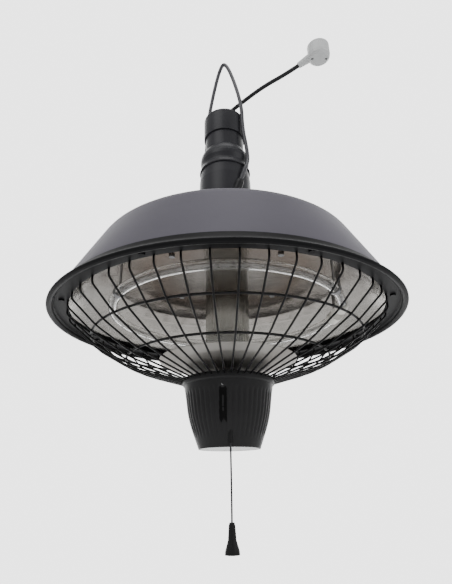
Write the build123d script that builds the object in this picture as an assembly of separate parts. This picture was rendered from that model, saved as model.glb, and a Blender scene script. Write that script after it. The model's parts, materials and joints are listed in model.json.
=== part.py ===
from build123d import *
import math
import os

# Hanging halogen patio heater. Millimetres, +Z up.
# Shapes are drawn with z = 0 at the plane of the shade's rim, then all of them
# are dropped by HANG, so that the origin is the point where the cord hangs.
HANG = 431.75          # hang point above the rim plane
RIM_R = 212.5          # shade rim radius
SHEET = 1.5            # pressed steel
N_WIRES = 46           # radial guard wires
WIRE_R = 1.1           # guard wire radius
RING_R = 1.35          # guard ring wire radius
LAMP_R = 140.0         # lamp ring radius
LAMP_Z = 12.0
LAMP_TUBE = 6.0        # quartz tube radius
COL_R = 27.0           # polished column
ROPE_R = 2.75          # suspension cord
LEAD_R = 3.25          # mains lead
PULL_R = 0.95          # pull cord

os.makedirs("parts", exist_ok=True)


def save(name, shape):
    shape = shape.moved(Location((0, 0, -HANG)))
    shape.label = name
    export_step(shape, "parts/" + name + ".step")


def rev(pts):
    wire = Polyline(*[(r, 0, z) for r, z in pts], close=True)
    return revolve(make_face(wire), Axis.Z)


def cyl(x, y, z0, z1, r):
    return Pos(x, y, (z0 + z1) / 2) * Cylinder(r, z1 - z0)


def ring(x, y, z0, z1, ro, ri):
    return cyl(x, y, z0, z1, ro) - cyl(x, y, z0 - 1, z1 + 1, ri)


def hexn(x, y, z0, z1, af, ri):
    h = extrude(Plane.XY.offset(z0) * Pos(x, y) * RegularPolygon(af / math.sqrt(3), 6), z1 - z0)
    return h - cyl(x, y, z0 - 1, z1 + 1, ri)


def boxz(x0, x1, y0, y1, z0, z1):
    return Pos((x0 + x1) / 2, (y0 + y1) / 2, (z0 + z1) / 2) * Box(x1 - x0, y1 - y0, z1 - z0)


def pol(r, az, z):
    a = math.radians(az)
    return (r * math.sin(a), -r * math.cos(a), z)


def rod(p, q, r0, r1=None):
    p, q = Vector(*p), Vector(*q)
    pl = Plane(origin=p, z_dir=q - p)
    h = (q - p).length
    if r1 is None or r1 == r0:
        return extrude(pl * Circle(r0), h)
    return loft([(pl * Circle(r0)).face(), (pl.offset(h) * Circle(r1)).face()])


def route_radii(pts, caps=None):
    v = [Vector(*p) for p in pts]
    out = []
    for i in range(1, len(v) - 1):
        a, b = v[i] - v[i - 1], v[i + 1] - v[i]
        turn = math.radians(a.get_angle(b))
        out.append(0.45 * min(a.length, b.length) / math.tan(turn / 2))
    for i, c in (caps or {}).items():
        out[i] = min(out[i], c)
    return out


def tube(name, pts, r, caps=None):
    rr = route_radii(pts, caps)
    path = FilletPolyline(*pts, radius=rr)
    t = sweep(Plane(origin=path @ 0, z_dir=path % 0) * Circle(r), path=path)
    print(name, "radii", [round(q, 1) for q in rr], "length", round(path.length, 1),
          "volume/section*length", round(t.volume / (math.pi * r * r * path.length), 4))
    return t


def torus_arc(R, z, r, a0, a1):
    """bent rod round the axis from azimuth a0 to a1 (degrees from the front)"""
    p = Plane(origin=pol(R, a0, z), z_dir=Vector(math.cos(math.radians(a0)), math.sin(math.radians(a0)), 0))
    return revolve(p * Circle(r), Axis.Z, a1 - a0)


# ---------------------------------------------------------------- shade
shade_out = [(30, 119.0), (150.5, 91.0), (155.6, 89.0), (159.6, 85.6), (162.6, 81.0), (198.0, 17.2),
             (199.6, 13.6), (202.4, 8.2), (206.6, 3.6), (210.8, 2.0), (212.3, 1.0), (212.5, -0.6),
             (211.4, -2.2), (209.0, -2.8), (206.6, -2.2), (205.4, -0.4)]
shade_in = [(205.4, 1.0), (202.4, 4.6), (199.2, 9.0), (197.9, 13.2), (196.3, 17.0), (161.0, 80.0),
            (158.4, 84.2), (154.8, 87.4), (150.1, 89.4), (30, 117.4)]
shade = rev(shade_out + shade_in)
save("shade", shade)

# surfaces that neighbouring parts sit against
def shade_top(r):
    return 119.0 - (r - 30) * 28 / 120.5


refl_low = [(197.0, 12.9), (178.0, 38.0), (166.0, 48.0), (150.0, 54.5), (120.0, 60.0), (60.0, 63.0), (27.5, 63.5), (5.3, 63.5)]
refl_top = [(r, z + 1.0) for r, z in refl_low]
above_shade = rev([(30, 117.4), (150.1, 89.4), (150.1, 200), (30, 200)])
above_refl = rev(refl_low + [(5.3, 180), (197, 180)])
below_refl = rev(refl_top + [(5.3, -40), (197, -40)])
below_flange = rev([(30, shade_top(30) + 1.8), (60, shade_top(60) + 1.8), (60, 50), (30, 50)])

# ---------------------------------------------------------------- neck
neck = rev([(46, shade_top(46)), (46, shade_top(46) + 1.8), (39, shade_top(39) + 1.8), (37.4, 122.5), (35.6, 204),
            (34.3, 218.0), (34.3, 222.0), (32.4, 222.0), (32.4, 218.0), (33.7, 204), (35.5, 122.5),
            (35.5, shade_top(35.5))])
g0n, g1n = (10.3, -28.2, 160), (25.7, -38.1, 200)
g0f, g1f = (-10.3, 28.2, 160), (-25.7, 38.1, 200)
dirn = (Vector(*g1n) - Vector(*g0n)).normalized()
dirf = (Vector(*g1f) - Vector(*g0f)).normalized()


def pn(g, d, t):
    return tuple(Vector(*g) + d * t)


for g, d in ((g0n, dirn), (g0f, dirf)):
    neck = neck - rod(pn(g, d, -4), pn(g, d, 60), 5.5)
save("neck_base_tube", neck)

anchors = []
ferrules = []
for g, d in ((g0n, dirn), (g0f, dirf)):
    a = rod(pn(g, d, 1), pn(g, d, 26), 5.5) + rod(pn(g, d, 26), pn(g, d, 30), 5.5, 4.5)
    anchors.append(a - rod(pn(g, d, -2), pn(g, d, 36), ROPE_R))
    ferrules.append(rod(pn(g, d, -7), pn(g, d, 0), 4.2))
save("cord_side_anchors", Compound(children=anchors))
save("cord_ferrules", Compound(children=ferrules))

save("neck_collar", rev([(35.6, 219.2), (35.9, 222.5), (35.2, 230), (34.6, 237), (33.8, 245), (31.8, 251.5),
                         (28.7, 255.5), (27.6, 255.5), (27.6, 240.0), (32.3, 240.0), (32.3, 234.0),
                         (34.3, 222.0), (34.3, 219.2)]))
cap = rev([(29.6, 280.0), (29.6, 314.6), (29.1, 316.3), (28.0, 317.5), (26.3, 318.0), (0, 318.0),
           (0, 316.2), (26.0, 316.2), (27.0, 315.8), (27.6, 314.6), (27.6, 280.0)])
lead_in, lead_out = (-6, 12, 276), (-12.7, 53.4, 328.1)
ld = (Vector(*lead_out) - Vector(*lead_in)).normalized()


def lp(t):
    return tuple(Vector(*lead_in) + ld * t)


lead_hole = rod(lp(4), lp(44), 6.0)
save("neck_cap", cap - lead_hole)
save("neck_upper_tube", rev([(27.6, 240.5), (27.6, 290.0), (25.8, 290.0), (25.8, 240.5)]) - lead_hole)
save("lead_gland", rod(lp(10), lp(27), 6.0) - rod(lp(6), lp(32), LEAD_R))
save("lead_strain_relief", rod(lp(27), lp(47.2), 6.0, 4.4) - rod(lp(22), lp(50), LEAD_R))
save("terminal_plate", rev([(25.8, 260), (25.8, 262.5), (4, 262.5), (4, 260)]))
save("terminal_block", boxz(-15, 3, 2, 19, 262.5, 279) - rod(lp(0), lp(20), LEAD_R)
     - cyl(-11, 5, 263.5, 280, 1.6) - cyl(-1, 5, 263.5, 280, 1.6))

# ---------------------------------------------------------------- suspension cord
near = [g0n, g1n, (32.2, -22.5, 226), (31.2, -22.7, 249), (26.2, -20.4, 288), (25.9, -20.3, 337), (5.75, -4.5, 434.5)]
far = [(-x, -y, z) for x, y, z in near[::-1]]
save("suspension_cord", tube("suspension_cord", near + far, ROPE_R, {4: 60, 7: 60}))

# ---------------------------------------------------------------- mains lead and ceiling outlet
lead_pts = [lead_in, lead_out, (-9, 60, 371), (6, 58, 388), (27, 45, 397), (64, 21, 409), (100, 3, 416.5),
            (119, -6, 424)]
save("mains_lead", tube("mains_lead", lead_pts, LEAD_R))
e = Vector(*lead_pts[-1])
ed = (e - Vector(*lead_pts[-2])).normalized()
grip = rod(tuple(e), tuple(e + ed * 20), 4.6, 6.6)
save("outlet_cord_grip", grip)
oc = e + ed * 20 + Vector(ed.X, ed.Y, 0).normalized() * 14.6
outlet = rev([(0, 421), (13, 421), (16.2, 424), (17, 428), (17, 446), (0, 446)]).moved(Location((oc.X, oc.Y, 0)))
outlet = outlet - grip
for dx in (-11, 11):
    outlet = outlet - cyl(oc.X + dx, oc.Y, 415, 450, 2.1)
save("ceiling_outlet", outlet)
print("outlet centre", round(oc.X, 3), round(oc.Y, 3))

# ---------------------------------------------------------------- inside the neck
save("neck_bridge_plate", rev([(34.0, 119.0), (34.0, 122.0), (5.3, 122.0), (5.3, 119.0)]))
save("tie_rod", rev([(5.0, 130.0), (5.0, -86.0), (3.4, -86.0), (3.4, 130.0)]))
save("tie_rod_nuts", Compound(children=[hexn(0, 0, 122.0, 128.0, 17, 5.0), hexn(0, 0, -82.4, -76.4, 17, 5.0)]))
save("earth_screw", cyl(-19, 0, 122.0, 125, 4.0) + cyl(-19, 0, 125, 128, 2.4))
fl = []
for k in range(4):
    x, y, _ = pol(42.6, 45 + 90 * k, 0)
    fl.append(cyl(x, y, 114, 120.2, 2.6) - below_flange)
save("neck_flange_screws", Compound(children=fl))

# ---------------------------------------------------------------- upper reflector, column
save("upper_reflector", rev(refl_low + refl_top[::-1]))
sp, sc = [], []
for k in range(4):
    x, y, _ = pol(90, 45 + 90 * k, 0)
    sp.append(ring(x, y, 40, 118, 5, 2.2) - above_shade - below_refl)
    sc.append(cyl(x, y, 58.9, 70, 3.6) - above_refl)
save("reflector_spacers", Compound(children=sp))
save("reflector_screws", Compound(children=sc))
save("column_sleeve", rev([(COL_R, 63.5), (COL_R, -63.0), (COL_R - 1.0, -63.0), (COL_R - 1.0, 63.5)]))
dish_low = [(82, -50.0), (70, -55.5), (50, -61.0), (30, -64.0), (5.3, -64.0)]
save("lower_reflector_dish", rev(dish_low + [(r, z + 1.0) for r, z in dish_low[::-1]]))
save("column_spacer", ring(0, 0, -73.4, -64.0, 12, 5.3))

# ---------------------------------------------------------------- lamp
tube_solid = torus_arc(LAMP_R, LAMP_Z, LAMP_TUBE, 100, 440)
save("lamp_quartz_tube", tube_solid - torus_arc(LAMP_R, LAMP_Z, LAMP_TUBE - 1.2, 99, 441))
save("lamp_filament", torus_arc(LAMP_R, LAMP_Z, 1.7, 100, 440))
end_caps = [torus_arc(LAMP_R, LAMP_Z, 8.2, 78.6, 86) - torus_arc(LAMP_R, LAMP_Z, LAMP_TUBE, 78, 80),
            torus_arc(LAMP_R, LAMP_Z, 8.2, 94, 101.4) - torus_arc(LAMP_R, LAMP_Z, LAMP_TUBE, 100, 102)]
save("lamp_end_caps", Compound(children=end_caps))
posts = []
for i, a in enumerate((83, 97)):
    x, y, _ = pol(LAMP_R, a, 0)
    posts.append(cyl(x, y, LAMP_Z + 5, 66, 2.4) - above_refl
                 - torus_arc(LAMP_R, LAMP_Z, 8.2, (78.6, 94)[i], (86, 101.4)[i]))
save("lamp_end_posts", Compound(children=posts))
clips = []
for a in (-58, 58, 180):
    x, y, _ = pol(LAMP_R, a, 0)
    c = torus_arc(LAMP_R, LAMP_Z, 7.2, a - 1.2, a + 1.2) + (cyl(x, y, LAMP_Z + 5.5, 66, 1.4) - above_refl)
    clips.append(c - torus_arc(LAMP_R, LAMP_Z, LAMP_TUBE, a - 4, a + 4))
save("lamp_support_clips", Compound(children=clips))

# ---------------------------------------------------------------- wire guard
clips, screws = [], []
flange = rev([(188.4, 3.0), (203.69, 3.0), (202.52, 4.4), (188.4, 4.4)])
clip_face = make_face(Polyline((192, 0, 4.4), (202.5, 0, 4.4), (201.41, 0, 5.9), (192, 0, 5.9), close=True))
for k in range(8):
    aa = 22.5 + 45 * k
    x, y, _ = pol(196.5, aa, 0)
    hole = cyl(x, y, -2, 12, 1.6)
    flange = flange - hole
    c = revolve(clip_face, Axis.Z, 4).rotate(Axis.Z, aa - 90 - 2)
    clips.append(c - hole)
    screws.append(cyl(x, y, 1.2, 3.0, 3.2) + cyl(x, y, 2.5, 7.0, 1.6))
save("guard_outer_ring", flange)
save("guard_clips", Compound(children=clips))
save("guard_screws", Compound(children=screws))
save("guard_ring_upper", revolve(Plane.XZ * Pos(160.8, -27.1) * Circle(RING_R), Axis.Z))
save("guard_ring_lower", revolve(Plane.XZ * Pos(119.8, -51.5) * Circle(RING_R), Axis.Z))
wp = [(189.6, 3.0), (189.6, -4.5), (162.15, -29.05), (120.75, -53.65), (53.75, -75.0)]
path = FilletPolyline(*[(0, -r, z) for r, z in wp], radius=[7, 60, 140])
wire = sweep(Plane(origin=path @ 0, z_dir=path % 0) * Circle(WIRE_R), path=path)
save("guard_radial_wires", Compound(children=[wire.rotate(Axis.Z, math.degrees(0.0597) + 360.0 / N_WIRES * k)
                                              for k in range(N_WIRES)]))

# ---------------------------------------------------------------- pot
save("pot_top_plate", rev([(44.1, -76.4), (44.1, -73.4), (5.2, -73.4), (5.2, -76.4)]))
save("pot_top_ring", rev([(44.1, -72.4), (53.0, -72.4), (53.9, -74.0), (53.9, -79.2), (52.0, -80.6), (44.1, -80.6)]))
pot_out = [(51.9, -80.6), (51.3, -84.0), (49.4, -96.0), (47.7, -110.0), (44.6, -123.0), (40.0, -136.0),
           (36.2, -146.0), (34.9, -150.0)]
pot = rev(pot_out + [(33.4, -150.0), (34.4, -146.0), (38.0, -135.4), (42.5, -122.6), (45.6, -109.8),
                     (47.3, -95.8), (49.2, -83.9), (49.7, -80.6)])
skin = rev(pot_out + [(r - 1.2, z) for r, z in pot_out[::-1]])
pot = pot - (skin & boxz(-10.5, -2.5, -60, -30, -128, -89))
screw_axis = Pos(-6.5, -48, -86.6) * Rot(90, 0, 0)
pot = pot - cyl(1.0, -38.6, -160, -120, 2.25) - screw_axis * Cylinder(1.5, 12)
save("pot_body", pot)
save("pot_screw", Pos(-6.5, -48.5, -86.6) * Rot(90, 0, 0) * Cylinder(1.5, 3.8))
save("pot_base_disc", rev([(33.425, -149.9), (34.0, -147.6), (0, -147.6), (0, -149.9)]))
save("cord_eyelet", ring(1.0, -38.6, -146.5, -131.5, 2.25, 1.25))

# ---------------------------------------------------------------- pull switch (inside the pot)
save("switch_bracket", boxz(-13, 15, -41, -16, -78.4, -76.4) + boxz(-13, 15, -18, -16, -104, -76.4))
body = boxz(-11, 13, -42, -18, -112, -86) - boxz(-9.4, 11.4, -40.4, -19.6, -110.4, -80)
body = body - cyl(1.0, -38.6, -120, -105, 1.56)
axle = Pos(-5.3, -30, -98) * Rot(90, 0, 0)
save("switch_body", body - axle * Cylinder(1.25, 40))
save("switch_cover", boxz(-11, 13, -42, -18, -86, -84))
save("switch_plunger", boxz(-1.5, 3.5, -40.2, -26, -95, -92) + cyl(1.0, -38.6, -120.0, -94.0, 1.5))
save("return_spring", ring(1.0, -29.5, -110.4, -95.0, 2.4, 1.6))
save("ratchet_cam", axle * Cylinder(1.2, 23.2) + axle * Cylinder(2.4, 12) + boxz(-8.2, -2.4, -36, -24, -99.2, -96.8)
     + boxz(-6.5, -4.1, -36, -24, -100.9, -95.1))
save("pull_cord", cyl(1.0, -38.6, -221.0, -120.0, PULL_R))
bell = make_face(Polyline((0, 0, -221), (2.6, 0, -221), (3.4, 0, -224), (4.2, 0, -236), (7.2, 0, -246),
                          (7.4, 0, -249), (0, 0, -249), close=True))
save("pull_toggle", revolve(bell, Axis.Z).moved(Location((1.0, -38.6, 0))))
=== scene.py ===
import bpy
import bmesh
import json
import math
from mathutils import Matrix, Vector


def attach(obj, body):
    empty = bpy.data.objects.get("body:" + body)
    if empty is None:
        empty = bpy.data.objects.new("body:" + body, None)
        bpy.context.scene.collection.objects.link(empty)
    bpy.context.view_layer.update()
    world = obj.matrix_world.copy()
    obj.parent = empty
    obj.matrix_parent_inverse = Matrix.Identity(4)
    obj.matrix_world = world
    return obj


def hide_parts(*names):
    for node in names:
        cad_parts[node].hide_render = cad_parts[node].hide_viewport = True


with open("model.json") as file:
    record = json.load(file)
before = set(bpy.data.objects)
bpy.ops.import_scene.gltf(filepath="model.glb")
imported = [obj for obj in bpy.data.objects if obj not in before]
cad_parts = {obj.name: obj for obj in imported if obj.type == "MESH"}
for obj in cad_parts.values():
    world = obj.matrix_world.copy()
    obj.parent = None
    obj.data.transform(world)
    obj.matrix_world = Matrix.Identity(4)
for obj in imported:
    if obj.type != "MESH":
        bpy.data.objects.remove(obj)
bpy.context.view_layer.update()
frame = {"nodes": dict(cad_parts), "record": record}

K = 0.001
Z0 = -431.75          # rim plane below the hang point, mm


def P(x, y, z):
    return Vector((x * K, y * K, (z + Z0) * K))


# ------------------------------------------------------------------ camera
pit, yw, rl = math.radians(22.627), math.radians(0.007), math.radians(-0.917)
fwd = Vector((math.sin(yw) * math.cos(pit), math.cos(yw) * math.cos(pit), math.sin(pit)))
right = Vector((math.cos(yw), -math.sin(yw), 0))
up = right.cross(fwd)
r2 = right * math.cos(rl) + up * math.sin(rl)
u2 = -right * math.sin(rl) + up * math.cos(rl)
cam_data = bpy.data.cameras.new("camera")
cam = bpy.data.objects.new("camera", cam_data)
bpy.context.scene.collection.objects.link(cam)
cam_data.lens = 463.611 / 584 * 36
cam_data.sensor_width = 36
cam_data.clip_start, cam_data.clip_end = 0.01, 50
m = Matrix((r2, u2, -fwd)).transposed().to_4x4()
m.translation = Vector((-0.0013, -0.546079, (-187.104 + Z0) * K))
cam.matrix_world = m
bpy.context.scene.camera = cam


# ------------------------------------------------------------------ materials
def principled(name, color, rough, metal=0.0, spec=0.5, vary=0.0, scale=40.0, rough_vary=0.0,
               bump=0.0, bump_scale=600.0, second=None, coat=0.0, stretch=None):
    """a surface whose colour, roughness and fine relief come from noise in the object's own coordinates"""
    mat = bpy.data.materials.new(name)
    mat.use_nodes = True
    nt = mat.node_tree
    b = nt.nodes["Principled BSDF"]
    b.inputs["Metallic"].default_value = metal
    b.inputs["Roughness"].default_value = rough
    b.inputs["Specular IOR Level"].default_value = spec
    b.inputs["Coat Weight"].default_value = coat
    b.inputs["Coat Roughness"].default_value = 0.25
    tc = nt.nodes.new("ShaderNodeTexCoord")
    mp = nt.nodes.new("ShaderNodeMapping")
    nt.links.new(tc.outputs["Object"], mp.inputs["Vector"])
    if stretch:
        mp.inputs["Scale"].default_value = stretch
    nz = nt.nodes.new("ShaderNodeTexNoise")
    nz.inputs["Scale"].default_value = scale
    nz.inputs["Detail"].default_value = 5.0
    nt.links.new(mp.outputs["Vector"], nz.inputs["Vector"])
    ramp = nt.nodes.new("ShaderNodeValToRGB")
    lo = [max(0.0, c * (1 - vary)) for c in color]
    hi = [min(1.0, c * (1 + vary)) for c in color]
    if second:
        lo = list(second)
    ramp.color_ramp.elements[0].position = 0.34
    ramp.color_ramp.elements[1].position = 0.66
    ramp.color_ramp.elements[0].color = (*lo, 1)
    ramp.color_ramp.elements[1].color = (*hi, 1)
    nt.links.new(nz.outputs["Fac"], ramp.inputs["Fac"])
    nt.links.new(ramp.outputs["Color"], b.inputs["Base Color"])
    if rough_vary:
        mr = nt.nodes.new("ShaderNodeMapRange")
        mr.inputs["To Min"].default_value = max(0.02, rough - rough_vary)
        mr.inputs["To Max"].default_value = min(1.0, rough + rough_vary)
        nt.links.new(nz.outputs["Fac"], mr.inputs["Value"])
        nt.links.new(mr.outputs["Result"], b.inputs["Roughness"])
    if bump:
        fine = nt.nodes.new("ShaderNodeTexNoise")
        fine.inputs["Scale"].default_value = bump_scale
        fine.inputs["Detail"].default_value = 3.0
        nt.links.new(mp.outputs["Vector"], fine.inputs["Vector"])
        bp = nt.nodes.new("ShaderNodeBump")
        bp.inputs["Strength"].default_value = bump
        bp.inputs["Distance"].default_value = 0.0004
        nt.links.new(fine.outputs["Fac"], bp.inputs["Height"])
        nt.links.new(bp.outputs["Normal"], b.inputs["Normal"])
    return mat


M = {}
M["shade_paint"] = principled("shade_paint", (0.088, 0.083, 0.102), 0.50, spec=0.14, vary=0.05, scale=14, rough_vary=0.04,
                              bump=0.12, bump_scale=1400)
# near-black enamel of the guard flange; on the shade's rim and lip it is also painted shade of the underside
M["rim_paint"] = principled("rim_paint", (0.0035, 0.0036, 0.0042), 0.46, spec=0.09, vary=0.12, scale=30, bump=0.1, bump_scale=1400)
M["neck_paint"] = principled("neck_paint", (0.013, 0.013, 0.0165), 0.40, spec=0.24, vary=0.08, scale=24, rough_vary=0.05,
                             bump=0.12, bump_scale=1500)
M["pot_paint"] = principled("pot_paint", (0.0052, 0.0052, 0.0058), 0.42, spec=0.26, vary=0.10, scale=40, rough_vary=0.06,
                            bump=0.25, bump_scale=1600)
def reflector_sheet():
    """bright sheet, darker and browner on the roof above the lamp than on its outer skirt, a painted reflection of the
    dark below mixed with heat tint, with random blotches and a rolled grain
    """
    mat = bpy.data.materials.new("reflector")
    mat.use_nodes = True
    nt = mat.node_tree
    link = nt.links.new
    b = nt.nodes["Principled BSDF"]
    b.inputs["Metallic"].default_value = 1.0
    tc = nt.nodes.new("ShaderNodeTexCoord")
    sep = nt.nodes.new("ShaderNodeSeparateXYZ")
    link(tc.outputs["Object"], sep.inputs["Vector"])
    flat = nt.nodes.new("ShaderNodeCombineXYZ")
    link(sep.outputs["X"], flat.inputs["X"])
    link(sep.outputs["Y"], flat.inputs["Y"])
    rad = nt.nodes.new("ShaderNodeVectorMath")
    rad.operation = "LENGTH"
    link(flat.outputs["Vector"], rad.inputs[0])
    nz = nt.nodes.new("ShaderNodeTexNoise")
    nz.inputs["Scale"].default_value = 16
    nz.inputs["Detail"].default_value = 6
    link(tc.outputs["Object"], nz.inputs["Vector"])
    add = nt.nodes.new("ShaderNodeMath")
    add.operation = "MULTIPLY_ADD"
    link(nz.outputs["Fac"], add.inputs[0])
    add.inputs[1].default_value = 0.075
    link(rad.outputs["Value"], add.inputs[2])
    mr = nt.nodes.new("ShaderNodeMapRange")
    mr.inputs["From Min"].default_value = 0.04
    mr.inputs["From Max"].default_value = 0.23
    link(add.outputs["Value"], mr.inputs["Value"])
    # painted reflection: the ramp darkens and browns the roof by radius, darkest near the lamp ring, for the dark it
    # reflects; partly heat tint
    ramp = nt.nodes.new("ShaderNodeValToRGB")
    e = ramp.color_ramp.elements
    e[0].position, e[0].color = 0.0, (0.24, 0.225, 0.21, 1)
    e[1].position, e[1].color = 1.0, (0.46, 0.445, 0.42, 1)
    for pos, col in ((0.28, (0.155, 0.14, 0.125)), (0.50, (0.15, 0.115, 0.09)), (0.66, (0.26, 0.235, 0.21)), (0.84, (0.40, 0.38, 0.355))):
        k = e.new(pos)
        k.color = (*col, 1)
    link(mr.outputs["Result"], ramp.inputs["Fac"])
    link(ramp.outputs["Color"], b.inputs["Base Color"])
    rr = nt.nodes.new("ShaderNodeMapRange")
    rr.inputs["To Min"].default_value = 0.12
    rr.inputs["To Max"].default_value = 0.30
    link(nz.outputs["Fac"], rr.inputs["Value"])
    link(rr.outputs["Result"], b.inputs["Roughness"])
    dots = nt.nodes.new("ShaderNodeTexVoronoi")
    dots.inputs["Scale"].default_value = 420
    link(tc.outputs["Object"], dots.inputs["Vector"])
    wave = nt.nodes.new("ShaderNodeTexNoise")
    wave.inputs["Scale"].default_value = 42
    link(tc.outputs["Object"], wave.inputs["Vector"])
    mix = nt.nodes.new("ShaderNodeMath")
    mix.operation = "MULTIPLY_ADD"
    link(dots.outputs["Distance"], mix.inputs[0])
    mix.inputs[1].default_value = 0.18
    link(wave.outputs["Fac"], mix.inputs[2])
    bp = nt.nodes.new("ShaderNodeBump")
    bp.inputs["Strength"].default_value = 0.45
    bp.inputs["Distance"].default_value = 0.0012
    link(mix.outputs["Value"], bp.inputs["Height"])
    link(bp.outputs["Normal"], b.inputs["Normal"])
    return mat


M["reflector"] = reflector_sheet()
M["dish_metal"] = principled("dish_metal", (0.46, 0.445, 0.42), 0.46, metal=1.0, vary=0.05, scale=18, rough_vary=0.05,
                             bump=0.2, bump_scale=300, second=(0.36, 0.33, 0.30))
# near-black for the pot's slot: painted shade of its depth
M["slot_dark"] = principled("slot_dark", (0.0012, 0.0012, 0.0013), 0.6, spec=0.1, vary=0.2, scale=80)
M["polished_column"] = principled("polished_column", (0.42, 0.42, 0.40), 0.16, metal=1.0, vary=0.04, scale=20,
                                  rough_vary=0.05, bump=0.1, bump_scale=200)
M["guard_steel"] = principled("guard_steel", (0.003, 0.003, 0.0034), 0.34, spec=0.2, vary=0.2, scale=60, bump=0.08, bump_scale=1500)
M["zinc_steel"] = principled("zinc_steel", (0.24, 0.24, 0.245), 0.36, metal=1.0, vary=0.08, scale=90, rough_vary=0.08)
M["filament"] = principled("filament", (0.20, 0.18, 0.17), 0.45, metal=1.0, vary=0.15, scale=300)
M["ceramic"] = principled("ceramic", (0.78, 0.76, 0.70), 0.65, vary=0.04, scale=120, bump=0.15, bump_scale=900)
M["black_rubber"] = principled("black_rubber", (0.006, 0.006, 0.0075), 0.44, spec=0.3, vary=0.15, scale=110, bump=0.1, bump_scale=1500)
M["black_plastic"] = principled("black_plastic", (0.004, 0.004, 0.0045), 0.48, spec=0.22, vary=0.12, scale=90, bump=0.15, bump_scale=1500)
M["white_plastic"] = principled("white_plastic", (0.50, 0.51, 0.51), 0.38, vary=0.03, scale=60, bump=0.06, bump_scale=1200)
M["cord_jacket"] = principled("cord_jacket", (0.036, 0.036, 0.042), 0.42, spec=0.42, vary=0.12, scale=120, bump=0.12, bump_scale=1500)
M["pull_cord_fibre"] = principled("pull_cord_fibre", (0.018, 0.018, 0.020), 0.75, vary=0.3, scale=900, bump=0.6, bump_scale=2200)
M["brass"] = principled("brass", (0.60, 0.42, 0.17), 0.30, metal=1.0, vary=0.08, scale=100)

quartz = bpy.data.materials.new("quartz")
quartz.use_nodes = True
qb = quartz.node_tree.nodes["Principled BSDF"]
qb.inputs["Transmission Weight"].default_value = 1.0
qb.inputs["IOR"].default_value = 1.46
qn = quartz.node_tree.nodes.new("ShaderNodeTexNoise")
qn.inputs["Scale"].default_value = 25
qm = quartz.node_tree.nodes.new("ShaderNodeMapRange")
qm.inputs["To Min"].default_value = 0.02
qm.inputs["To Max"].default_value = 0.10
quartz.node_tree.links.new(qn.outputs["Fac"], qm.inputs["Value"])
quartz.node_tree.links.new(qm.outputs["Result"], qb.inputs["Roughness"])
qr = quartz.node_tree.nodes.new("ShaderNodeValToRGB")
qr.color_ramp.elements[0].color = (0.93, 0.93, 0.91, 1)
qr.color_ramp.elements[1].color = (0.98, 0.98, 0.98, 1)
quartz.node_tree.links.new(qn.outputs["Fac"], qr.inputs["Fac"])
quartz.node_tree.links.new(qr.outputs["Color"], qb.inputs["Base Color"])
M["quartz"] = quartz


# ------------------------------------------------------------------ mesh builders
def finish_mesh(name, verts, faces, slot, body, replaced, angle=32):
    me = bpy.data.meshes.new(name)
    me.from_pydata(verts, [], faces)
    me.validate()
    bm = bmesh.new()
    bm.from_mesh(me)
    bmesh.ops.recalc_face_normals(bm, faces=bm.faces)
    bm.to_mesh(me)
    bm.free()
    me.shade_smooth()
    me.set_sharp_from_angle(angle=math.radians(angle))
    ob = bpy.data.objects.new(name, me)
    bpy.context.scene.collection.objects.link(ob)
    me.materials.append(M[slot])
    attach(ob, body)
    if replaced:
        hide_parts(*replaced)
    return ob


def round_profile(pts, radii, seg=5):
    """closed profile with its corners rounded: radii maps a point's index to a radius"""
    out = []
    n = len(pts)
    for i, p in enumerate(pts):
        r = radii.get(i, 0)
        if not r:
            out.append(p)
            continue
        a, b, c = Vector(pts[i - 1]), Vector(p), Vector(pts[(i + 1) % n])
        u, v = (a - b).normalized(), (c - b).normalized()
        half = u.angle(v) / 2
        t = min(r / math.tan(half), (a - b).length * 0.49, (c - b).length * 0.49)
        rr = t * math.tan(half)
        o = b + (u + v).normalized() * (rr / math.sin(half))
        s, e = b + u * t - o, b + v * t - o
        turn = s.angle(e)
        sign = 1 if s.x * e.y - s.y * e.x > 0 else -1
        for k in range(seg + 1):
            w = sign * turn * k / seg
            q = o + Vector((s.x * math.cos(w) - s.y * math.sin(w), s.x * math.sin(w) + s.y * math.cos(w)))
            out.append((q.x, q.y))
    return out


def lathe(name, prof, slot, replaced, n=192, body="heater", angle=32, flute=None):
    """closed profile of (radius, height) turned round the axis; a point on the axis is one vertex"""
    verts, rows = [], []
    for r, z in prof:
        if r < 1e-6:
            rows.append([len(verts)])
            verts.append(P(0, 0, z))
            continue
        row = []
        for i in range(n):
            a = 2 * math.pi * i / n
            rr = r + (flute(r, z, a) if flute else 0)
            row.append(len(verts))
            verts.append(P(rr * math.sin(a), -rr * math.cos(a), z))
        rows.append(row)
    faces = []
    for j in range(len(rows)):
        A, B = rows[j], rows[(j + 1) % len(rows)]
        if len(A) == 1 and len(B) == 1:
            continue
        for i in range(n):
            k = (i + 1) % n
            if len(A) == 1:
                faces.append((A[0], B[i], B[k]))
            elif len(B) == 1:
                faces.append((A[i], B[0], A[k]))
            else:
                faces.append((A[i], B[i], B[k], A[k]))
    return finish_mesh(name, verts, faces, slot, body, replaced, angle)


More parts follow.
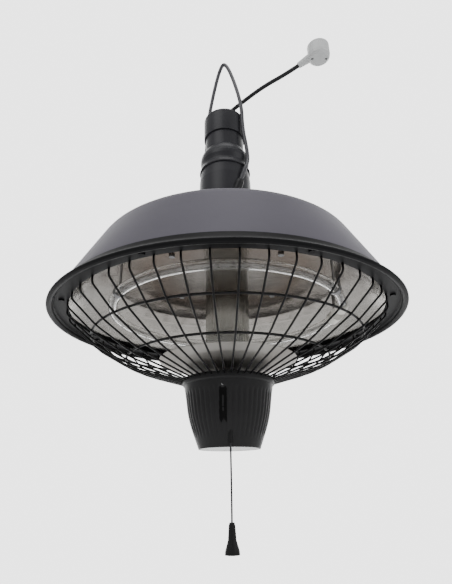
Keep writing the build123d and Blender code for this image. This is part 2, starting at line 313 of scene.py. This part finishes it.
def tube_mesh(paths, radius, sides=10, closed=False):
    """round bars along lists of points in millimetres, all in one mesh"""
    verts, faces = [], []
    for pts in paths:
        pts = [Vector(p) for p in pts]
        n = len(pts)
        ref = None
        rows = []
        for i in range(n):
            if closed:
                t = (pts[(i + 1) % n] - pts[i - 1]).normalized()
            else:
                t = (pts[min(i + 1, n - 1)] - pts[max(i - 1, 0)]).normalized()
            if ref is None:
                ref = t.orthogonal().normalized()
            ref = (ref - t * ref.dot(t)).normalized()
            w = t.cross(ref)
            row = []
            for k in range(sides):
                a = 2 * math.pi * k / sides
                q = pts[i] + (ref * math.cos(a) + w * math.sin(a)) * radius
                row.append(len(verts))
                verts.append(P(*q))
            rows.append(row)
        span = n if closed else n - 1
        for i in range(span):
            A, B = rows[i], rows[(i + 1) % n]
            for k in range(sides):
                l = (k + 1) % sides
                faces.append((A[k], A[l], B[l], B[k]))
        if not closed:
            faces.append(tuple(rows[0][::-1]))
            faces.append(tuple(rows[-1]))
    return verts, faces


def pol(r, az, z):
    a = math.radians(az)
    return (r * math.sin(a), -r * math.cos(a), z)


def smooth_path(pts, radii, step=3.0):
    """2-D open path with rounded corners"""
    out = [Vector(pts[0])]
    for i in range(1, len(pts) - 1):
        a, b, c = Vector(pts[i - 1]), Vector(pts[i]), Vector(pts[i + 1])
        u, v = (a - b).normalized(), (c - b).normalized()
        half = u.angle(v) / 2
        t = radii[i - 1] / math.tan(half)
        o = b + (u + v).normalized() * (radii[i - 1] / math.sin(half))
        s, e = b + u * t - o, b + v * t - o
        turn = s.angle(e)
        sign = 1 if s.x * e.y - s.y * e.x > 0 else -1
        k = max(4, int(turn * radii[i - 1] / step))
        for j in range(k + 1):
            w = sign * turn * j / k
            out.append(o + Vector((s.x * math.cos(w) - s.y * math.sin(w), s.x * math.sin(w) + s.y * math.cos(w))))
    out.append(Vector(pts[-1]))
    return out


# ------------------------------------------------------------------ shade
shade_out = [(30, 119.0), (150.5, 91.0), (155.6, 89.0), (159.6, 85.6), (162.6, 81.0), (198.0, 17.2),
             (199.6, 13.6), (202.4, 8.2), (206.6, 3.6), (210.8, 2.0), (212.3, 1.0), (212.5, -0.6),
             (211.4, -2.2), (209.0, -2.8), (206.6, -2.2), (205.4, -0.4)]
shade_in = [(205.4, 1.0), (202.4, 4.6), (199.2, 9.0), (197.9, 13.2), (196.3, 17.0), (161.0, 80.0),
            (158.4, 84.2), (154.8, 87.4), (150.1, 89.4), (30, 117.4)]
prof = round_profile(shade_out + shade_in, {2: 6, 3: 8, 4: 8, 6: 14, 7: 14, 8: 7, 10: 1.5, 11: 1.5, 12: 1.5, 13: 2, 14: 1.5, 15: 1.5,
                                            17: 6, 18: 10})
shade = lathe("shade_shell", prof, "shade_paint", ["shade"], n=256, angle=38)
# the rolled rim, the flare below the skirt and the inside of the lip take the guard flange's near-black enamel, which
# here also stands in as painted shade on these downward-facing surfaces
shade.data.materials.append(M["rim_paint"])
for p in shade.data.polygons:
    r = math.hypot(p.center.x, p.center.y) / K
    z = p.center.z / K - Z0
    inward = p.normal.x * p.center.x + p.normal.y * p.center.y < 0
    if z < 15.2 or (inward and r > 190 and z < 30):
        p.material_index = 1


# ------------------------------------------------------------------ neck
def shade_top(r):
    return 119.0 - (r - 30) * 28 / 120.5


lathe("neck_base", round_profile([(46, shade_top(46)), (46, shade_top(46) + 1.8), (39, shade_top(39) + 1.8), (37.4, 122.5),
                                  (35.6, 204), (34.3, 218.0), (34.3, 222.0), (32.4, 222.0), (32.4, 218.0), (33.7, 204),
                                  (35.5, 122.5), (35.5, shade_top(35.5))], {1: 0.8, 2: 2, 3: 3, 4: 10, 5: 2}),
      "neck_paint", ["neck_base_tube"], n=128)
lathe("neck_collar_ring", round_profile([(35.4, 219.2), (35.9, 220.8), (35.0, 223.4), (33.5, 226.2), (33.0, 229.6), (33.6, 233.0),
                                         (34.4, 236.6), (34.4, 241.0), (33.5, 246.0), (31.4, 251.0),
                                         (28.7, 255.5), (27.6, 255.5), (27.6, 240.0), (32.3, 240.0), (32.3, 233.0), (32.5, 226.0),
                                         (34.3, 222.0), (34.3, 219.2)], {0: 0.6, 1: 1.5, 2: 3, 3: 3, 4: 4, 5: 4, 6: 4, 7: 5, 8: 6, 9: 6, 10: 0.5}),
      "neck_paint", ["neck_collar"], n=128, angle=60)
lathe("neck_tube", [(27.6, 240.5), (27.6, 290.0), (25.8, 290.0), (25.8, 240.5)], "neck_paint", ["neck_upper_tube"], n=128)
lathe("neck_top_cap", round_profile([(29.6, 280.0), (29.6, 314.6), (29.1, 316.3), (28.0, 317.5), (26.3, 318.0), (0, 318.0),
                                     (0, 316.2), (26.0, 316.2), (27.0, 315.8), (27.6, 314.6), (27.6, 280.0)],
                                    {0: 0.7, 1: 2, 2: 2, 3: 2, 4: 2}), "neck_paint", ["neck_cap"], n=128, angle=50)

# ------------------------------------------------------------------ reflectors and column
refl_low = [(197.0, 12.9), (178.0, 38.0), (166.0, 48.0), (150.0, 54.5), (120.0, 60.0), (60.0, 63.0), (27.5, 63.5), (5.3, 63.5)]
refl_prof = refl_low + [(r, z + 1.0) for r, z in refl_low[::-1]]
lathe("reflector_sheet", round_profile(refl_prof, {1: 20, 2: 14, 3: 24, 4: 60, 11: 60, 12: 24, 13: 14, 14: 20}), "reflector",
      ["upper_reflector"], n=256, angle=40)
lathe("column_tube", [(27.0, 63.5), (27.0, -63.0), (26.0, -63.0), (26.0, 63.5)], "polished_column", ["column_sleeve"], n=128)
dish_low = [(82, -50.0), (70, -55.5), (50, -61.0), (30, -64.0), (5.3, -64.0)]
dish = round_profile(dish_low + [(r, z + 1.0) for r, z in dish_low[::-1]], {1: 30, 2: 30, 3: 20, 6: 20, 7: 30, 8: 30})
low = lathe("lower_dish", dish, "reflector", ["lower_reflector_dish"], n=192, angle=40)
low.data.materials.clear()
low.data.materials.append(M["dish_metal"])

# ------------------------------------------------------------------ lamp
LAMP_R, LAMP_Z = 140.0, 12.0
N = 240
verts, faces = [], []
for i in range(N + 1):
    az = 100 + 340.0 * i / N
    a = math.radians(az)
    for rad in (6.0, 4.8):
        for k in range(20):
            w = 2 * math.pi * k / 20
            rr = LAMP_R + rad * math.cos(w)
            verts.append(P(rr * math.sin(a), -rr * math.cos(a), LAMP_Z + rad * math.sin(w)))
for i in range(N):
    for s in (0, 20):
        for k in range(20):
            l = (k + 1) % 20
            q = (i * 40 + s + k, i * 40 + s + l, (i + 1) * 40 + s + l, (i + 1) * 40 + s + k)
            faces.append(q if s == 0 else q[::-1])
for i in (0, N):
    for k in range(20):
        l = (k + 1) % 20
        faces.append((i * 40 + k, i * 40 + l, i * 40 + 20 + l, i * 40 + 20 + k))
finish_mesh("quartz_ring", verts, faces, "quartz", "heater", ["lamp_quartz_tube"], 40)
turns, per = 560, 10
helix = []
for i in range(turns * per + 1):
    az = 100.4 + 339.2 * i / (turns * per)
    w = 2 * math.pi * i / per
    a = math.radians(az)
    rr = LAMP_R + 1.45 * math.cos(w)
    helix.append((rr * math.sin(a), -rr * math.cos(a), LAMP_Z + 1.45 * math.sin(w)))
v, f = tube_mesh([helix], 0.24, sides=5)
finish_mesh("filament_coil", v, f, "filament", "heater", ["lamp_filament"], 80)

# ------------------------------------------------------------------ wire guard
lathe("guard_flange", round_profile([(188.4, 3.0), (203.69, 3.0), (202.52, 4.4), (188.4, 4.4)], {0: 0.6, 3: 0.6}),
      "rim_paint", ["guard_outer_ring"], n=256, angle=30)
for name, node, R, z in (("guard_hoop_upper", "guard_ring_upper", 160.8, -27.1), ("guard_hoop_lower", "guard_ring_lower", 119.8, -51.5)):
    ring = [(R * math.sin(2 * math.pi * i / 200), -R * math.cos(2 * math.pi * i / 200), z) for i in range(200)]
    v, f = tube_mesh([ring], 1.35, sides=12, closed=True)
    finish_mesh(name, v, f, "guard_steel", "heater", [node], 60)
prof = smooth_path([(189.6, 3.0), (189.6, -4.5), (162.15, -29.05), (120.75, -53.65), (53.75, -75.0)], [7, 60, 140])
paths = []
for k in range(46):
    a = 0.0597 + 2 * math.pi * k / 46
    paths.append([(q.x * math.sin(a), -q.x * math.cos(a), q.y) for q in prof])
v, f = tube_mesh(paths, 1.1, sides=10)
finish_mesh("guard_wires", v, f, "guard_steel", "heater", ["guard_radial_wires"], 60)

# ------------------------------------------------------------------ pot
lathe("pot_ring", round_profile([(44.1, -72.4), (53.0, -72.4), (53.9, -74.0), (53.9, -79.2), (52.0, -80.6), (44.1, -80.6)],
                                {1: 0.8, 2: 1.0, 3: 1.6, 4: 0.6}), "pot_paint", ["pot_top_ring"], n=160)
pot_out = [(51.9, -80.6), (51.3, -84.0), (49.4, -96.0), (47.7, -110.0), (44.6, -123.0), (40.0, -136.0), (36.2, -146.0), (34.9, -150.0)]


def pot_r(z):
    """smooth outer radius of the pot at height z"""
    for (ra, za), (rb, zb) in zip(pot_out, pot_out[1:]):
        if za >= z >= zb:
            return ra + (rb - ra) * (za - z) / (za - zb)
    return pot_out[-1][0]


zs = [-80.6 - 69.4 * i / 60 for i in range(61)]
outer = []
for z in zs:
    # average over a short height, so that the silhouette has no corners
    w = min(5.0, z - zs[-1], zs[0] - z)
    outer.append(((pot_r(z - w) + pot_r(z) + pot_r(z + w)) / 3, z))
inner = [(33.4, -150.0), (34.4, -146.0), (38.0, -135.4), (42.5, -122.6), (45.6, -109.8), (47.3, -95.8), (49.2, -83.9), (49.7, -80.6)]
outer_set = {(round(r, 4), round(z, 4)) for r, z in outer}


def ease(x, a, b):
    t = min(1.0, max(0.0, (x - a) / (b - a)))
    return t * t * (3 - 2 * t)


def flutes(r, z, a):
    if (round(r, 4), round(z, 4)) not in outer_set:
        return 0.0
    az = math.degrees(a)
    az = az - 360 if az > 180 else az
    x = r * math.sin(a)
    depth = 0.75 * ease(-z, 86, 93) * (1 - ease(-z, 131, 141))
    d = -depth * (0.5 - 0.5 * math.cos(48 * a)) ** 1.6
    if abs(az) < 40:
        slot = ease(x, -10.9, -10.1) * (1 - ease(x, -2.9, -2.1)) * ease(-z, 88.4, 89.6) * (1 - ease(-z, 116, 129))
        d = d * (1 - slot) - 1.5 * slot
        rib = ease(x, -8.0, -7.4) * (1 - ease(x, -5.6, -5.0)) * ease(-z, 96, 99) * (1 - ease(-z, 112, 120))
        d += 0.8 * rib * slot
    return d


pot = lathe("fluted_pot", outer + inner, "pot_paint", ["pot_body"], n=960, flute=flutes, angle=50)
# painted shade: the shallow slot's faces are set near-black for the shade of a deep slot
pot.data.materials.append(M["slot_dark"])
for p in pot.data.polygons:
    x, y, z = p.center.x / K, p.center.y / K, p.center.z / K - Z0
    if y < 0 and -10.6 < x < -2.4 and -126 < z < -88.5 and math.hypot(x, y) < pot_r(z) - 0.9:
        p.material_index = 1

# ------------------------------------------------------------------ cords
def cord_curve(name, pts, dia, slot, body, nodes):
    cu = bpy.data.curves.new(name, "CURVE")
    cu.dimensions = "3D"
    sp = cu.splines.new("NURBS")
    sp.points.add(len(pts) - 1)
    for q, p in zip(sp.points, pts):
        q.co = (p[0], p[1], p[2], 1)
    sp.order_u = 3
    sp.use_endpoint_u = True
    cu.resolution_u = 24
    cu.bevel_depth = dia / 2
    cu.bevel_resolution = 6
    cu.use_fill_caps = True
    ob = bpy.data.objects.new(name, cu)
    bpy.context.scene.collection.objects.link(ob)
    cu.materials.append(M[slot])
    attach(ob, body)
    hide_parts(*nodes)
    return ob


nodes = frame["nodes"]
rope_pts = [(0.0103, -0.0282, -0.27175), (0.0257, -0.0381, -0.23175), (0.0322, -0.0225, -0.20575), (0.0312, -0.0227, -0.18275),
            (0.0262, -0.0204, -0.14375), (0.0259, -0.0203, -0.09475), (0.00575, -0.0045, 0.00275),
            (-0.00575, 0.0045, 0.00275), (-0.0259, 0.0203, -0.09475), (-0.0262, 0.0204, -0.14375), (-0.0312, 0.0227, -0.18275),
            (-0.0322, 0.0225, -0.20575), (-0.0257, 0.0381, -0.23175), (-0.0103, 0.0282, -0.27175)]
rope = cord_curve("hanging_cord", rope_pts, 0.0055, "cord_jacket", "heater", ["suspension_cord"])
lead_pts = [(-0.006, 0.012, -0.15575), (-0.0127, 0.0534, -0.10365), (-0.009, 0.060, -0.06075), (0.006, 0.058, -0.04375),
            (0.027, 0.045, -0.03475), (0.064, 0.021, -0.02275), (0.100, 0.003, -0.01525), (0.119, -0.006, -0.00775)]
lead = cord_curve("supply_lead", lead_pts, 0.0065, "black_rubber", "heater", ["mains_lead"])
pull_pts = [(0.001, -0.0386, -0.55175), (0.001, -0.0386, -0.585), (0.0012, -0.0386, -0.619), (0.001, -0.0386, -0.65275)]
pull = cord_curve("pull_string", pull_pts, 0.0019, "pull_cord_fibre", "pull", ["pull_cord"])

# ------------------------------------------------------------------ CAD nodes that are shown as they are
slots = {s["node"]: s["material_slot"] for s in frame["record"]["subparts"]}
for node, ob in nodes.items():
    if ob.hide_render:
        continue
    ob.data.materials.clear()
    ob.data.materials.append(M[slots[node]])

# ------------------------------------------------------------------ floor, background and light
def stage_material(name, color, rough, glow):
    mat = principled(name, color, rough, vary=0.01, scale=2)
    b = mat.node_tree.nodes["Principled BSDF"]
    b.inputs["Specular IOR Level"].default_value = 0.0
    b.inputs["Emission Color"].default_value = (1, 1, 1, 1)
    b.inputs["Emission Strength"].default_value = glow
    return mat


fme = bpy.data.meshes.new("floor")
ring = [(4.4 * math.cos(2 * math.pi * k / 96), 4.4 * math.sin(2 * math.pi * k / 96), -1.6) for k in range(96)]
fme.from_pydata(ring, [], [tuple(range(96))])
floor = bpy.data.objects.new("floor", fme)
bpy.context.scene.collection.objects.link(floor)
fme.materials.append(stage_material("floor_paint", (0.86, 0.86, 0.86), 0.9, 0.0))

# soft light all round, brighter from one wide patch of sky behind and above the heater
world = bpy.data.worlds.new("studio")
bpy.context.scene.world = world
world.use_nodes = True
wt = world.node_tree
bg = wt.nodes["Background"]
bg.inputs["Color"].default_value = (1.0, 1.0, 1.0, 1)
wtc = wt.nodes.new("ShaderNodeTexCoord")
dot = wt.nodes.new("ShaderNodeVectorMath")
dot.operation = "DOT_PRODUCT"
wt.links.new(wtc.outputs["Generated"], dot.inputs[0])
dot.inputs[1].default_value = (0.0, 0.923, 0.385)
wr = wt.nodes.new("ShaderNodeMapRange")
wr.interpolation_type = "SMOOTHSTEP"
wr.inputs["From Min"].default_value = 0.66
wr.inputs["From Max"].default_value = 0.785
wr.inputs["To Min"].default_value = 0.80
wr.inputs["To Max"].default_value = 3.2
wt.links.new(dot.outputs["Value"], wr.inputs["Value"])
wt.links.new(wr.outputs["Result"], bg.inputs["Strength"])


def area(name, loc, target, size, power):
    d = bpy.data.lights.new(name, "AREA")
    d.shape = "SQUARE"
    d.size = size
    d.energy = power
    ob = bpy.data.objects.new(name, d)
    bpy.context.scene.collection.objects.link(ob)
    ob.location = loc
    ob.rotation_mode = "QUATERNION"
    ob.rotation_quaternion = (Vector(target) - Vector(loc)).to_track_quat("-Z", "Y")
    return ob


area("key", (-0.9, -1.3, 1.1), (0, 0, -0.35), 1.2, 12)
area("top", (0.1, -0.35, 1.5), (0, 0, -0.35), 0.9, 6)
area("fill", (1.4, -0.9, 0.2), (0, 0, -0.4), 1.0, 6)
